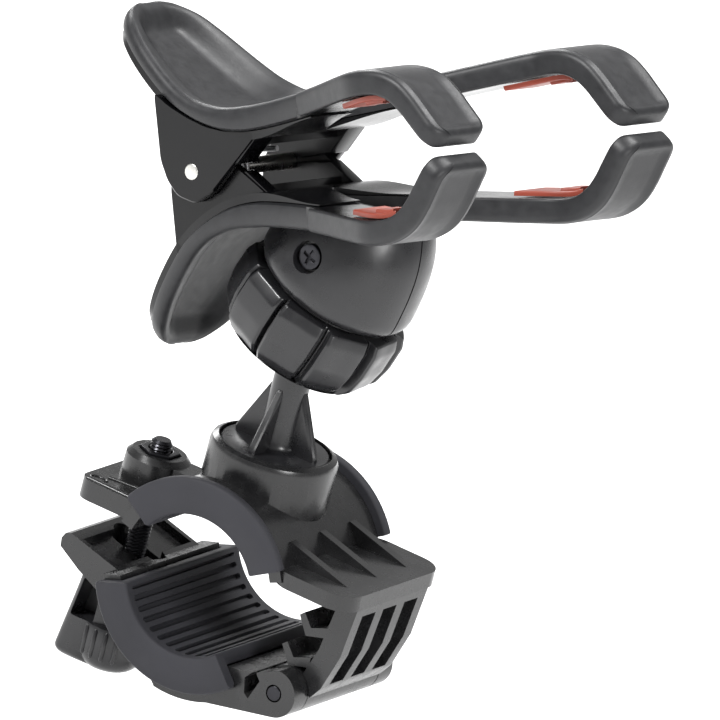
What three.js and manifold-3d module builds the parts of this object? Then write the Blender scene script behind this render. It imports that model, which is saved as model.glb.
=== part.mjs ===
// Phone mount for a motorcycle or bicycle handlebar: a hinged two-jaw clamp with rubber liners,
// a ball stem, a ball socket with a castellated ring nut, and a spring clip with four padded claws.
// Millimetres, +Z up. The origin is the middle of the clamped handlebar, +Y runs along the bar,
// and +X points to the clamp's hinge.

import * as THREE from "three";
import { mergeVertices } from "three/addons/utils/BufferGeometryUtils.js";
import Module from "manifold-3d";

const wasm = await Module();
wasm.setup();

// ---------------------------------------------------------------- driving dimensions

const DEG = Math.PI / 180;
const GAP = 0.3;                  // clearance between neighbouring pieces
const PAST = 1;                   // how far a cutting tool reaches past a face

// clamp
const BAR_R = 16;                 // 32 mm handlebar
const LINER_T = 3.0;
const FLANGE_R = 24.2;            // outer radius of the liners' end flanges
const FLANGE_T = 2.8;
const JAW_HALF = 20.4;            // half width of both jaws along the bar
const JAW_IN_R = BAR_R + LINER_T + GAP;
const SADDLE_R = 22.4;            // outside of the upper jaw's saddle
const SHELL_R = 23.6;             // outside of the lower jaw's shell
const UPPER_ARC = [30, 147];      // the upper liner's arc, in degrees from +X
const LOWER_ARC = [200, 312];
const HINGE = { x: 25.5, z: -15.8 };
const KNUCKLE_R = 5.4;
const PIN_R = 1.7;
const LEG_HALF = 14.7;            // half width of the leg and its middle knuckle

// hinge-side plate and leg of the upper jaw
const PLATE = { x0: 16.5, x1: 37.6, z0: 7.7, z1: 11.3, corner: 6 };
const GUSSET = { pitch: 12.3, t: 2.2, x0: 16.5, z0: 15.6, x1: 33 };
const LEG_RIB_T = 3.2;
const LEG_SLOT_DEPTH = 2.4;

// clamping screw
const BOLT = { x: -27.4, r: 2.5, top: 19.5, bottom: -31 };
const BOLT_HOLE_R = 2.9;
const BOLT_HEAD_R = 4.4;          // to the corners of its hexagonal head
const LUG = { x0: -37, x1: -19, half: 16.5, z0: 5.5, z1: 10, corner: 4 };
const NUT_BOSS = { r: 7.3, top: 16.6 };
const NUT = { flats: 8, z0: 12.6, z1: 17.2 };
const LOWER_LUG_HALF = 16.5;
const SLOT = { x0: -33.6, x1: -19.8, half: 3 };
const SEAT = { r: 6, z: -12.2 };
const WASHER = { r: 5.6, t: 1.1 };
const KNOB = { top: -13.9, bottom: -34.6, half: 7, topReach: 8.2, reach: 11.1, bevel: 2, hub: 5 };
const KNOB_DRUM = { r: 7.6, top: -22, bottom: -35.1, round: 2.4, rib: 0.5, ribs: 4, ribStep: 20 };
const KNOB_POCKET = { floor: -24.6, wall: 1.5, web: 0.8, inner: 2.4 };
const KNOB_SWEEP = 11.6;          // room cut in the lower jaw for the turning knob

// stem and ball
const BOSS = { r: 14.5, top: 29.5, recess: 12.7, floor: 26 };
const STEM_DISC = { r: 12.4, z0: 26.3, z1: 29.2 };
const BALL = { r: 10, z: 57.5 };
const NECK_R = 4.2;
const STEM_RIB = { r: 10.6, top: 44, t: 1.7 };

// ball socket, along the socket's own axis from the ball's centre
const CAVITY_R = 11.7;
const CUP = { inner: 10.3, outer: 11.25 };
const THREAD = { r: 14.8, bottom: -3.6 };
const NUT_RING = { r: 20.4, bottom: -5.2, top: 11.3, bore: 15.2, lobes: 10, first: 24 };
const DOME_BASE = 11.7;
const SHELL_SCREW = { s: 22, r: 1.5, head: 2.9, sink: 3.6, post: 3.2 };
const HOUSING_TOP = -13.2;        // where the clip's frame trims the housing

// how the head leans on the ball at rest
const SWIVEL = 3.8 * DEG;
const LEAN = 18.6 * DEG;
const SPIN = -10.9 * DEG;
const CLIP_PITCH = -45 * DEG;     // from the socket's axis to the clip's own up direction
const PIVOT = { x: -33.8, z: 17.5 };  // the clip's pivot in the socket's frame

// clip, in its own frame: pivot at the origin, +X to the claws, +Z to the upper half
const EAR = { upper: 20.4, lower: 17.7, t: 2.4, r: 7.0 };
const PIVOT_R = 1.85;
const ARM = { half: 9.5, y: 34, bend: 62, splay: 0.6, root: 37 };
const NOTCH_X = ARM.bend - (ARM.y - ARM.half) / ARM.splay;   // where the arms' inner edges meet
const CORE = { t: 2.2, half: 8, root: 14, slope: 0.13 };   // slope: how it falls behind the arm's root
const BLOCK = { x0: 12, x1: 20.5, half: 16, z0: 4.6, z1: 7.4 };    // joins the arms to the paddle's backing
const TONGUE = { x0: 14, x1: 33.5, half: 2.5, top: -6, bottom: -26.5, bevel: 8.4 };
const GRIP = { half: 6, t: 1.8 };
const SPRING = { r: 3.7, wire: 0.65, turns: 5, y0: -13, y1: -4 };

// ---------------------------------------------------------------- materials

const look = (color, roughness, metalness) =>
  new THREE.MeshStandardMaterial({ color, roughness, metalness });
const JAW_PLASTIC = look(0x232324, 0.45, 0);
const SHELL_PLASTIC = look(0x262627, 0.42, 0);
const RUBBER = look(0x3a3a3e, 0.85, 0);
const SOFT_TOUCH = look(0x36373a, 0.6, 0);
const GLOSS_BLACK = look(0x141415, 0.2, 0);
const RED_SILICONE = look(0xb0452f, 0.6, 0);
const BLACK_ZINC = look(0x2b2b2d, 0.4, 0.8);
const BRIGHT_STEEL = look(0xb9b9b6, 0.35, 1);
const SPRING_STEEL = look(0x77777a, 0.4, 1);

// ---------------------------------------------------------------- solid helpers

// A closed geometry as a solid that can be joined and cut.
function solid(geometry) {
  const bare = geometry.clone();
  bare.deleteAttribute("normal");
  bare.deleteAttribute("uv");
  const merged = mergeVertices(bare, 1e-4);
  const vertProperties = new Float32Array(merged.attributes.position.array);
  const triVerts = new Uint32Array(merged.index.array);
  return new wasm.Manifold(new wasm.Mesh({ numProp: 3, vertProperties, triVerts }));
}

function geometryOf(body) {
  const mesh = body.getMesh();
  const geometry = new THREE.BufferGeometry();
  geometry.setAttribute("position", new THREE.BufferAttribute(mesh.vertProperties, 3));
  geometry.setIndex(new THREE.BufferAttribute(mesh.triVerts, 1));
  geometry.computeVertexNormals();
  return geometry;
}

// The same solid reflected in the plane through the origin whose normal is the given axis (0, 1 or 2).
function mirrored(body, axis) {
  const mesh = body.getMesh();
  const vertProperties = Float32Array.from(mesh.vertProperties);
  for (let i = axis; i < vertProperties.length; i += 3) vertProperties[i] *= -1;
  const triVerts = Uint32Array.from(mesh.triVerts);
  for (let i = 0; i < triVerts.length; i += 3) {
    [triVerts[i + 1], triVerts[i + 2]] = [triVerts[i + 2], triVerts[i + 1]];
  }
  return new wasm.Manifold(new wasm.Mesh({ numProp: 3, vertProperties, triVerts }));
}

function moved(geometry, x, y, z) {
  geometry.translate(x, y, z);
  return geometry;
}

function box(x0, x1, y0, y1, z0, z1) {
  const geometry = new THREE.BoxGeometry(x1 - x0, y1 - y0, z1 - z0);
  return solid(moved(geometry, (x0 + x1) / 2, (y0 + y1) / 2, (z0 + z1) / 2));
}

function polygon(points) {
  return new THREE.Shape(points.map(([x, y]) => new THREE.Vector2(x, y)));
}

// An outline drawn in X and Z, pushed along Y from y0 to y1.
function alongY(shape, y0, y1, curveSegments = 12) {
  const geometry = new THREE.ExtrudeGeometry(shape, { depth: y1 - y0, bevelEnabled: false, curveSegments });
  geometry.rotateX(Math.PI / 2);
  return solid(moved(geometry, 0, y1, 0));
}

// An outline drawn in X and Y, pushed along Z from z0 to z1.
function alongZ(shape, z0, z1, curveSegments = 8) {
  const geometry = new THREE.ExtrudeGeometry(shape, { depth: z1 - z0, bevelEnabled: false, curveSegments });
  return solid(moved(geometry, 0, 0, z0));
}

// A round bar along Z, and one along Y.
function barZ(r, z0, z1, x = 0, y = 0, sides = 32) {
  const geometry = new THREE.CylinderGeometry(r, r, z1 - z0, sides);
  geometry.rotateX(Math.PI / 2);
  return solid(moved(geometry, x, y, (z0 + z1) / 2));
}

function barY(r, y0, y1, x = 0, z = 0, sides = 28) {
  const geometry = new THREE.CylinderGeometry(r, r, y1 - y0, sides);
  return solid(moved(geometry, x, (y0 + y1) / 2, z));
}

// A turned shape about Z: the profile's points are [radius, height], starting and ending on the axis
// or closing on themselves.
function turned(profile, sides = 40) {
  const points = profile.map(([r, h]) => new THREE.Vector2(Math.max(r, 0), h));
  const geometry = new THREE.LatheGeometry(points, sides);
  geometry.rotateX(Math.PI / 2);
  return solid(geometry);
}

// Part of a ring about the bar's axis, between two angles in degrees from +X.
function ringSector(rIn, rOut, from, to, y0, y1, segments = 12) {
  const shape = new THREE.Shape();
  shape.absarc(0, 0, rOut, from * DEG, to * DEG, false);
  shape.absarc(0, 0, rIn, to * DEG, from * DEG, true);
  return alongY(shape, y0, y1, segments);
}

function roundedRect(x0, x1, y0, y1, r) {
  const shape = new THREE.Shape();
  shape.moveTo(x0 + r, y0);
  shape.lineTo(x1 - r, y0);
  shape.absarc(x1 - r, y0 + r, r, -Math.PI / 2, 0, false);
  shape.lineTo(x1, y1 - r);
  shape.absarc(x1 - r, y1 - r, r, 0, Math.PI / 2, false);
  shape.lineTo(x0 + r, y1);
  shape.absarc(x0 + r, y1 - r, r, Math.PI / 2, Math.PI, false);
  shape.lineTo(x0, y0 + r);
  shape.absarc(x0 + r, y0 + r, r, Math.PI, 1.5 * Math.PI, false);
  return shape;
}

// A closed skin through rings of points; every ring has the same number of points in the same order.
function loft(rings) {
  const count = rings[0].length;
  const position = rings.flat(2);
  const index = [];
  for (let i = 0; i + 1 < rings.length; i++) {
    for (let j = 0; j < count; j++) {
      const a = i * count + j;
      const b = i * count + ((j + 1) % count);
      index.push(a, b, b + count, a, b + count, a + count);
    }
  }
  const last = (rings.length - 1) * count;
  for (let j = 1; j + 1 < count; j++) {
    index.push(0, j + 1, j);
    index.push(last, last + j, last + j + 1);
  }
  if (signedVolume(position, index) < 0) index.reverse();
  const geometry = new THREE.BufferGeometry();
  geometry.setAttribute("position", new THREE.Float32BufferAttribute(position, 3));
  geometry.setIndex(index);
  return solid(geometry);
}

function signedVolume(position, index) {
  let volume = 0;
  const corner = (i) => new THREE.Vector3(...position.slice(3 * i, 3 * i + 3));
  for (let i = 0; i < index.length; i += 3) {
    volume += corner(index[i]).dot(corner(index[i + 1]).cross(corner(index[i + 2])));
  }
  return volume;
}

// ---------------------------------------------------------------- clamp

function liner([from, to]) {
  const inner = JAW_HALF + GAP;
  const outer = inner + FLANGE_T;
  let body = ringSector(BAR_R, BAR_R + LINER_T, from, to, -outer, outer);
  body = body.add(ringSector(BAR_R, FLANGE_R, from, to, -outer, -inner));
  return body.add(ringSector(BAR_R, FLANGE_R, from, to, inner, outer));
}

function legOutline() {
  const top = PLATE.z0 + 1;
  return polygon([
    [37.6, top], [36.2, -3.9], [33.4, -12.6], [31.3, -15.6], [27.8, -12.4], [30.6, -4.2], [32.6, top],
  ]);
}

// A pocket in the leg's outer face, between two of its ribs.
function legSlot(y0, y1) {
  const d = LEG_SLOT_DEPTH;
  const side = polygon([[41, 5.8], [36.9 - d, 5.8], [35.9 - d, -3.9], [33.6 - d, -11], [37, -13.4]]);
  return alongY(side, y0, y1);
}

// A gutter-shaped hook on the leg's inner side, its root at x, z.
function legHook(x, z) {
  const side = polygon([
    [x, z - 1], [x - 5, z - 2.4], [x - 7.7, z + 1.6], [x - 6.6, z + 2.6], [x - 4.2, z - 0.2], [x, z + 1.4],
  ]);
  return alongY(side, -LEG_HALF, LEG_HALF);
}

function upperJaw() {
  let body = ringSector(JAW_IN_R, SADDLE_R, 23, 164, -JAW_HALF, JAW_HALF, 14);
  const plate = roundedRect(PLATE.x0, PLATE.x1, -JAW_HALF, JAW_HALF, PLATE.corner);
  body = body.add(alongZ(plate, PLATE.z0, PLATE.z1, 5));
  for (const y of [-GUSSET.pitch, 0, GUSSET.pitch]) {
    const low = PLATE.z0 + 1;
    const side = polygon([[GUSSET.x0, GUSSET.z0], [GUSSET.x0, low], [GUSSET.x1, low], [GUSSET.x1, PLATE.z1]]);
    body = body.add(alongY(side, y - GUSSET.t / 2, y + GUSSET.t / 2));
  }
  // the leg down to the hinge, its hooks, and its middle knuckle
  body = body.add(alongY(legOutline(), -LEG_HALF, LEG_HALF));
  body = body.add(legHook(31.6, -0.2)).add(legHook(29.2, -8.2));
  body = body.add(barY(KNUCKLE_R, -LEG_HALF, LEG_HALF, HINGE.x, HINGE.z));
  const bay = (2 * LEG_HALF - 4 * LEG_RIB_T) / 3;
  for (let i = 0; i < 3; i++) {
    const y0 = -LEG_HALF + LEG_RIB_T + i * (bay + LEG_RIB_T);
    body = body.subtract(legSlot(y0, y0 + bay));
  }
  // the nut's lug and boss
  const lug = roundedRect(LUG.x0, LUG.x1, -LUG.half, LUG.half, LUG.corner);
  body = body.add(alongZ(lug, LUG.z0, LUG.z1, 4));
  body = body.add(turned([
    [0, LUG.z0 + 1], [NUT_BOSS.r + 0.4, LUG.z0 + 1], [NUT_BOSS.r, NUT_BOSS.top - 1.2],
    [NUT_BOSS.r - 1.2, NUT_BOSS.top], [0, NUT_BOSS.top],
  ], 20).translate([BOLT.x, 0, 0]));
  body = body.add(box(BOLT.x + 4, -10, -3.6, 3.6, LUG.z0 + 2, 15.4));
  // the boss for the stem
  body = body.add(turned([
    [0, JAW_IN_R - 6], [BOSS.r, JAW_IN_R - 6], [BOSS.r, BOSS.top - 1.8], [BOSS.r - 0.5, BOSS.top - 0.6],
    [BOSS.r - 1.6, BOSS.top], [0, BOSS.top],
  ], 32));
  body = body.subtract(barY(JAW_IN_R - 0.02, -JAW_HALF - PAST, JAW_HALF + PAST, 0, 0, 40));
  body = body.subtract(barZ(BOSS.recess, BOSS.floor, BOSS.top + PAST, 0, 0, 28));
  body = body.subtract(barZ(2.5, JAW_IN_R - PAST, BOSS.floor + PAST, 0, 0, 16));
  body = body.subtract(barZ(4.0, JAW_IN_R - PAST, 22.6, 0, 0, 20));
  // nut pocket, bolt hole, hinge bore
  const pocket = (NUT.flats + 2 * GAP) / Math.sqrt(3);
  body = body.subtract(barZ(pocket, NUT.z0 - GAP, NUT_BOSS.top + PAST, BOLT.x, 0, 6));
  body = body.subtract(barZ(BOLT_HOLE_R, LUG.z0 - PAST, NUT.z0, BOLT.x, 0, 16));
  return body.subtract(barY(PIN_R + GAP, -LEG_HALF - PAST, LEG_HALF + PAST, HINGE.x, HINGE.z, 16));
}

function lowerJaw() {
  // the shell under the bar, running out to the hinge
  const shape = new THREE.Shape();
  shape.absarc(0, 0, JAW_IN_R, 197 * DEG, 311 * DEG, false);
  shape.lineTo(19.2, -13.6);
  shape.lineTo(HINGE.x, HINGE.z + KNUCKLE_R);
  shape.absarc(HINGE.x, HINGE.z, KNUCKLE_R, 90 * DEG, -78 * DEG, true);
  shape.lineTo(10.4, -24.4);
  shape.absarc(0, 0, 26.4, -68 * DEG, -98 * DEG, true);
  shape.absarc(0, 0, SHELL_R, 252 * DEG, 197 * DEG, true);
  let body = alongY(shape, -JAW_HALF, JAW_HALF, 11);
  // room for the leg's knuckle
  const middle = LEG_HALF + GAP;
  body = body.subtract(barY(KNUCKLE_R + 0.9, -middle, middle, HINGE.x, HINGE.z));
  body = body.subtract(box(HINGE.x - 3, HINGE.x + 9, -middle, middle, -30, -4));
  // groove between the lip and the hinge
  const groove = polygon([[17.6, -15.2], [19.6, -12.6], [21.4, -14.6], [19.6, -19.4], [18.4, -18.6]]);
  body = body.subtract(alongY(groove, -JAW_HALF - PAST, JAW_HALF + PAST));
  // the screw's lug: a tray with a slot, and the washer's seat below it
  const lug = polygon([
    [-20.4, -6.6], [-35, -3], [-36.3, -3.5], [-37, -4.9], [-36.8, -6.8], [-31, -10.2], [-21.5, -14.5],
  ]);
  body = body.add(alongY(lug, -LOWER_LUG_HALF, LOWER_LUG_HALF));
  body = body.add(barZ(SEAT.r, SEAT.z, -6.5, BOLT.x, 0, 24));
  const tray = polygon([[-32.4, -1], [-32.4, -5.4], [-22.4, -7.9], [-22.4, -4]]);
  body = body.subtract(alongY(tray, 1.4 - LOWER_LUG_HALF, LOWER_LUG_HALF - 1.4));
  const slot = roundedRect(SLOT.x0, SLOT.x1, -SLOT.half, SLOT.half, SLOT.half - 0.01);
  body = body.subtract(alongZ(slot, -16, 0, 5));
  body = body.subtract(barZ(SEAT.r + 0.6, -20, SEAT.z, BOLT.x, 0, 24));
  body = body.subtract(barZ(KNOB_SWEEP, -30, KNOB.top + GAP, BOLT.x, 0, 36));
  body = body.subtract(barY(JAW_IN_R - 0.02, -JAW_HALF - PAST, JAW_HALF + PAST, 0, 0, 40));
  return body.subtract(barY(PIN_R + GAP, -JAW_HALF - PAST, JAW_HALF + PAST, HINGE.x, HINGE.z, 16));
}

function hingePin() {
  return barY(PIN_R, -JAW_HALF - 0.1, JAW_HALF + 0.1, HINGE.x, HINGE.z, 16);
}

function hexNut() {
  const nut = barZ(NUT.flats / Math.sqrt(3), NUT.z0, NUT.z1, BOLT.x, 0, 6);
  return nut.subtract(barZ(BOLT.r + GAP, NUT.z0 - PAST, NUT.z1 + PAST, BOLT.x, 0, 16));
}

// The screw, its hexagonal head held in the knob.
function clampBolt() {
  const head = KNOB.bottom + 3.4;
  const shank = barZ(BOLT.r, head - 1, BOLT.top - 0.5, BOLT.x, 0, 16);
  const tip = barZ(BOLT.r - 0.5, head, BOLT.top, BOLT.x, 0, 16);
  return shank.add(tip).add(barZ(BOLT_HEAD_R, KNOB.bottom + 0.4, head, BOLT.x, 0, 6));
}

function washer() {
  const top = SEAT.z - GAP;
  const disc = barZ(WASHER.r, top - WASHER.t, top, BOLT.x, 0, 24);
  return disc.subtract(barZ(BOLT.r + GAP, top - WASHER.t - PAST, top + PAST, BOLT.x, 0, 16));
}

// The knob: a ribbed drum with a rounded foot, and one finger wing that widens downwards and is
// hollowed from both sides above a smooth lower part.
function clampKnob() {
  const { top, bottom, half, topReach, reach, bevel, hub } = KNOB;
  const plan = (z, a, b) => [
    [0, -b], [0, b], [bevel - a, b], [-a, b - bevel], [-a, bevel - b], [bevel - a, -b],
  ].map(([x, y]) => [x, y, z]);
  let body = loft([
    plan(top, topReach, half - 0.6), plan(bottom + 1.5, reach, half), plan(bottom, reach - 1.5, half - 1.5),
  ]);
  const { floor, wall, web, inner } = KNOB_POCKET;
  const end = (z) => topReach + (reach - topReach) * (top - z) / (top - bottom) - wall;
  const ceiling = top - wall;
  const hollow = polygon([
    [-inner, floor], [-end(floor), floor], [-end(ceiling), ceiling], [-inner, ceiling],
  ]);
  body = body.subtract(alongY(hollow, -half - PAST, -web));
  body = body.subtract(alongY(hollow, web, half + PAST));
  const drum = KNOB_DRUM;
  const near = 0.3 * drum.round;
  body = body.add(turned([
    [0, drum.bottom], [drum.r - drum.round, drum.bottom], [drum.r - near, drum.bottom + near],
    [drum.r, drum.bottom + drum.round], [drum.r, drum.top - 1.2], [drum.r - 1.2, drum.top], [0, drum.top],
  ], 28));
  body = body.add(barZ(hub, bottom + 2, top, 0, 0, 20));
  for (let i = 0; i < drum.ribs; i++) {
    for (const side of [-90, 90]) {
      const angle = (side + (i - (drum.ribs - 1) / 2) * drum.ribStep) * DEG;
      const x = drum.r * Math.cos(angle);
      const y = drum.r * Math.sin(angle);
      body = body.add(barZ(drum.rib, drum.bottom + 4, drum.top - 2.4, x, y, 6));
    }
  }
  body = body.translate([BOLT.x, 0, 0]);
  const bore = barZ(BOLT.r + GAP, bottom + 1, top + PAST, BOLT.x, 0, 16);
  const socket = barZ(BOLT_HEAD_R + 0.4, drum.bottom - PAST, bottom + 3.7, BOLT.x, 0, 6);
  return body.subtract(bore).subtract(socket);
}

// ---------------------------------------------------------------- stem

function ballStem() {
  const { r, z0, z1 } = STEM_DISC;
  let body = turned([
    [0, z0], [r, z0], [r, z1 - 0.4], [r - 0.4, z1], [NECK_R + 0.7, z1], [NECK_R, 38], [NECK_R, BALL.z],
    [0, BALL.z],
  ], 24);
  for (let i = 0; i < 4; i++) {
    const side = polygon([
      [0, z0 + 1], [STEM_RIB.r, z0 + 1], [STEM_RIB.r, z1 + 1], [NECK_R, STEM_RIB.top], [0, STEM_RIB.top],
    ]);
    body = body.add(alongY(side, -STEM_RIB.t / 2, STEM_RIB.t / 2).rotate([0, 0, 90 * i]));
  }
  const ball = new THREE.SphereGeometry(BALL.r, 20, 12);
  ball.rotateX(Math.PI / 2);
  body = body.add(solid(moved(ball, 0, 0, BALL.z)));
  return body.subtract(barZ(2.3, z0 - PAST, 39, 0, 0, 16));
}

function stemScrew() {
  return barZ(2.0, 20.2, 38, 0, 0, 16).add(barZ(3.6, JAW_IN_R + 0.2, 22.2, 0, 0, 20));
}

// ---------------------------------------------------------------- ball socket, in the socket's frame

// A zone of a spherical shell between two angles from the +Z axis, in degrees.
function sphereZone(rIn, rOut, from, to) {
  const steps = 3;
  const outside = [];
  const inside = [];
  for (let i = 0; i <= steps; i++) {
    const angle = (to + (from - to) * i / steps) * DEG;
    outside.push([rOut * Math.sin(angle), rOut * Math.cos(angle)]);
    inside.unshift([rIn * Math.sin(angle), rIn * Math.cos(angle)]);
  }
  return turned([...outside, ...inside, outside[0]], 24);
}

function ringNut() {
  const { r, bottom, top, bore, lobes, first } = NUT_RING;
  let body = turned([
    [9.1, bottom], [r - 2.6, bottom], [r - 0.8, bottom + 2], [r, 2], [r - 0.5, 7], [r - 1.4, top],
    [bore, top], [bore, -4.2], [9.5, -4.2], [9.1, bottom],
  ], 32);
  for (let i = 0; i < lobes; i++) {
    const groove = barZ(1.6, bottom - PAST, top + PAST, r + 0.2, 0, 6);
    body = body.subtract(groove.rotate([0, 0, first + i * 360 / lobes]));
  }
  return body;
}

// Everything below a height in the clip's frame, as seen from the socket's frame.
function belowClip(height) {
  const reach = 60;
  const slab = new THREE.BoxGeometry(2 * reach, 2 * reach, reach);
  return solid(fromClip(slab.translate(0, 0, height - reach / 2)));
}

// From the clip's frame to the socket's frame.
function fromClip(geometry) {
  geometry.rotateY(CLIP_PITCH);
  return moved(geometry, PIVOT.x, 0, PIVOT.z);
}

// Both halves of the housing, still joined.
function housing() {
  let body = turned([
    [0, THREAD.bottom], [THREAD.r - 1.2, THREAD.bottom], [THREAD.r, -1.5], [THREAD.r, DOME_BASE],
    [17.4, DOME_BASE], [18.4, 13.6], [17.9, 19], [17.2, 24], [15.6, 29.5], [13.4, 34], [10.6, 38],
    [6.6, 41], [0, 42.4],
  ], 32);
  const cavity = new THREE.SphereGeometry(CAVITY_R + 0.1, 20, 12);
  cavity.rotateX(Math.PI / 2);
  body = body.subtract(solid(cavity));
  body = body.subtract(barZ(CAVITY_R - 0.5, THREAD.bottom - PAST, -1.5, 0, 0, 20));
  const hollow = turned([[0, 13.8], [14.4, 13.8], [14.2, 20], [12.6, 26], [10, 31], [6, 35], [0, 37]], 16);
  body = body.subtract(hollow.intersect(belowClip(HOUSING_TOP - 3)));
  body = body.intersect(belowClip(HOUSING_TOP));
  const tongue = geometryOf(tongueSolid(GAP));
  body = body.subtract(solid(fromClip(tongue)));
  return body.add(barY(SHELL_SCREW.post, -15.4, 15.4, 0, SHELL_SCREW.s, 20));
}

// The room that the clip's lower half takes up, in the socket's frame: arms, cover and backing.
function lowerHalfZone() {
  const grow = 0.4;
  const arms = armBand(ARM_LINE.slice(0, 3), ARM.half + grow, -3, ARM_LINE[0][2] + grow);
  const cover = loft(paddleFrames().slice(5).map(({ x, z, half, nx, nz }) => {
    const w = half + grow;
    const top = 0.4 + grow + coverT(x);
    return [[-w, -5], [-w, top], [w, top], [w, -5]].map(([a, b]) => [x + nx * b, a, z + nz * b]);
  }));
  const zone = cover.subtract(notch()).add(arms).add(mirrored(arms, 1));
  return solid(fromClip(geometryOf(mirrored(zone, 2))));
}

function socketShell(side, whole) {
  const reach = 40;
  const y0 = side < 0 ? -reach : GAP / 2;
  let body = whole.intersect(box(-reach, reach, y0, y0 + reach - GAP / 2, -reach, 60));
  const { s, r, sink } = SHELL_SCREW;
  if (side < 0) {
    body = body.subtract(barY(r + GAP, -reach, PAST, 0, s, 12));
    return body.subtract(barY(sink, -reach, -15.1, 0, s, 20));
  }
  return body.subtract(barY(r + GAP, -PAST, 13.4, 0, s, 12));
}

function shellScrew() {
  const { s, r, head } = SHELL_SCREW;
  const body = barY(r, -15.6, 13, 0, s, 12).add(barY(head, -16.8, -15.4, 0, s, 20));
  const arm = 1.8;
  const slit = 0.35;
  const floor = -16.1;
  const across = box(-arm, arm, floor - 2, floor, s - slit, s + slit);
  const down = box(-slit, slit, floor - 2, floor, s - arm, s + arm);
  return body.subtract(across).subtract(down);
}

// ---------------------------------------------------------------- clip, in the clip's frame

// Stations along an upper arm: the inner face's point [x, z] and the arm's thickness there.
const ARM_LINE = [
  [ARM.root, 10.0, 5.3], [46, 11.2, 5.3], [54, 12.3, 5.4], [62, 13.3, 5.5], [66, 13.6, 5.4],
  [69.4, 13.2, 5.3], [72.4, 11.8, 5.2], [75, 9.4, 5.0], [77.2, 6.6, 4.9], [79.3, 3.9, 4.8],
  [81.1, 1.8, 4.7],
];
const CLAW_END = [82.5, 0.4, 4.4, 6.5];

// The middle of an arm, across: it splays out from the root and then runs straight.
function armY(x) {
  return -ARM.y + ARM.splay * Math.max(0, ARM.bend - x);
}

// A band that follows an arm, from b0 to b1 above its inner face; b1 null means the arm's own thickness.
function armBand(line, half, b0, b1, chamfer = 0) {
  return loft(line.map(([x, z, t, endHalf], i) => {
    const before = line[Math.max(i - 1, 0)];
    const after = line[Math.min(i + 1, line.length - 1)];
    const length = Math.hypot(after[0] - before[0], after[1] - before[1]);
    const nx = -(after[1] - before[1]) / length;
    const nz = (after[0] - before[0]) / length;
    const top = b1 ?? t;
    const w = endHalf ?? half;
    const c = chamfer;
    const plain = [[-w, b0], [-w, top], [w, top], [w, b0]];
    const cut = [
      [-w, b0 + c], [-w, top - c], [c - w, top], [w - c, top],
      [w, top - c], [w, b0 + c], [w - c, b0], [c - w, b0],
    ];
    return (c > 0 ? cut : plain).map(([a, b]) => [x + nx * b, armY(x) + a, z + nz * b]);
  }));
}

function coreLine(end) {
  const [x, z, t] = ARM_LINE[0];
  const root = [CORE.root, z - (x - CORE.root) * CORE.slope, t];
  return [root, ...ARM_LINE.filter((station) => station[0] < end)];
}

function armCore(grow = 0) {
  const line = coreLine(68 + 2 * grow / GAP);
  const start = line[0];
  line[0] = [start[0] - grow, start[1] - grow * CORE.slope, start[2]];
  return armBand(line, CORE.half + grow, grow > 0 ? -3 : 0, CORE.t + grow);
}

function armSleeve() {
  return armBand([...ARM_LINE, CLAW_END], ARM.half, 0, null, 1.1).subtract(armCore(GAP));
}

function gripPad() {
  const line = ARM_LINE.filter(([x]) => x > 53 && x < 70);
  const strip = armBand(line, GRIP.half, -1.1 - GAP, -GAP);
  return strip.add(armBand(line.slice(1, -1), GRIP.half - 2, -GRIP.t - GAP, -GAP - 0.4));
}

// Underside of the upper thumb paddle's cover: [x, z, half width], from the tip to the arms.
const PADDLE_LINE = [
  [-25, 34.6, 5.5], [-23.4, 33.4, 9.6], [-20.6, 30.8, 13.4], [-17.4, 27.3, 15.6], [-13.9, 23.6, 17.2],
  [-9.4, 19.2, 18.8], [-4.8, 15.3, 20], [0, 12.4, 21], [5, 10.1, 21.6], [10, 8.6, 22], [16, 7.9, 22.2],
  [22, 8.2, 22.8], [29, 9.0, 24], [ARM.root - GAP, 10, 26],
];
const COVER = { rim: 2.4, t: 3.6, frontT: 5.3, dish: 3.4, sag: 1.3 };

// The cover's thickness, which grows towards the arms.
function coverT(x) {
  return COVER.t + (COVER.frontT - COVER.t) * Math.min(1, Math.max(0, x / 16));
}

function paddleFrames() {
  return PADDLE_LINE.map(([x, z, half], i) => {
    const before = PADDLE_LINE[Math.max(i - 1, 0)];
    const after = PADDLE_LINE[Math.min(i + 1, PADDLE_LINE.length - 1)];
    const length = Math.hypot(after[0] - before[0], after[1] - before[1]);
    return { x, z, half, nx: -(after[1] - before[1]) / length, nz: (after[0] - before[0]) / length };
  });
}

function notch() {
  const reach = 50;
  const far = NOTCH_X + reach;
  return alongZ(polygon([[NOTCH_X, 0], [far, -reach * ARM.splay], [far, reach * ARM.splay]]), -60, 60);
}

// A soft cover with a thumb dish, clear of the hard body below it.
function paddleCover() {
  let body = loft(paddleFrames().map(({ x, z, half, nx, nz }, i) => {
    const depth = COVER.dish * Math.min(1, i / 2, Math.max(0, (24 - x) / 16));
    const sag = COVER.sag * Math.min(1, i / 2, Math.max(0, (16 - x) / 11));
    const top = coverT(x);
    const inner = half - COVER.rim;
    const right = [
      [0, top - depth], [inner * 0.5, top - depth * 0.92], [inner * 0.86, top - depth * 0.6], [inner, top],
      [half - 0.8, top], [half, top - 0.7], [half, 0.8], [half - 1, 0], [inner * 0.5, -sag], [0, -sag],
    ];
    const left = right.slice(1, -1).reverse().map(([a, b]) => [-a, b]);
    return [...right, ...left].map(([a, b]) => [x + nx * b, a, z + nz * b]);
  }));
  for (const side of [1, -1]) {
    const core = armCore(GAP);
    body = body.subtract(side > 0 ? core : mirrored(core, 1));
  }
  const room = BLOCK.half + GAP;
  body = body.subtract(box(BLOCK.x0 - GAP, BLOCK.x1 + GAP, -room, room, -1, BLOCK.z1 + GAP));
  return body.subtract(notch());
}

const BACKING_T = 1.8;

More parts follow.
